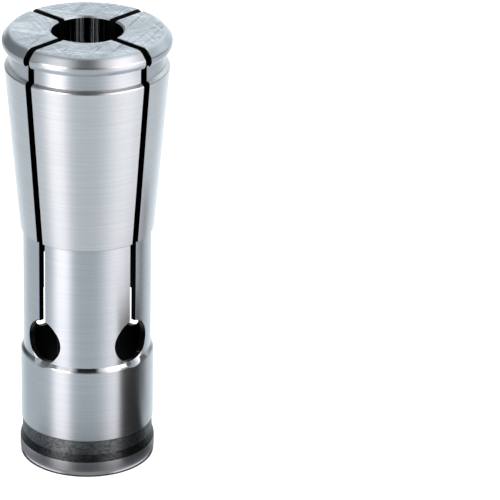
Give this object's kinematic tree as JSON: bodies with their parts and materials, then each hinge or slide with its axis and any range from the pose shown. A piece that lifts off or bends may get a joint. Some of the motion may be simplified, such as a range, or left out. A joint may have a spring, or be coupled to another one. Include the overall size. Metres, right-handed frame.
{
  "type": "tapered spring collet",
  "caption": "One-piece slotted steel collet: a tapered gripping sleeve with a grooved front rim, a straight neck with radial holes at the slot ends, and a plain rear collar.",
  "frame": {"origin": "centre of the rear end face, on the collet's axis", "axes": "+Z along the axis from the rear end to the gripping face; +X and +Y each point along one of the slots"},
  "size_m": [0.0236, 0.0236, 0.0646],
  "materials": {
    "ground_steel": "ground and polished hardened steel"
  },
  "bodies": {
    "root": {"collet": "ground_steel"}
  },
  "joints": []
}
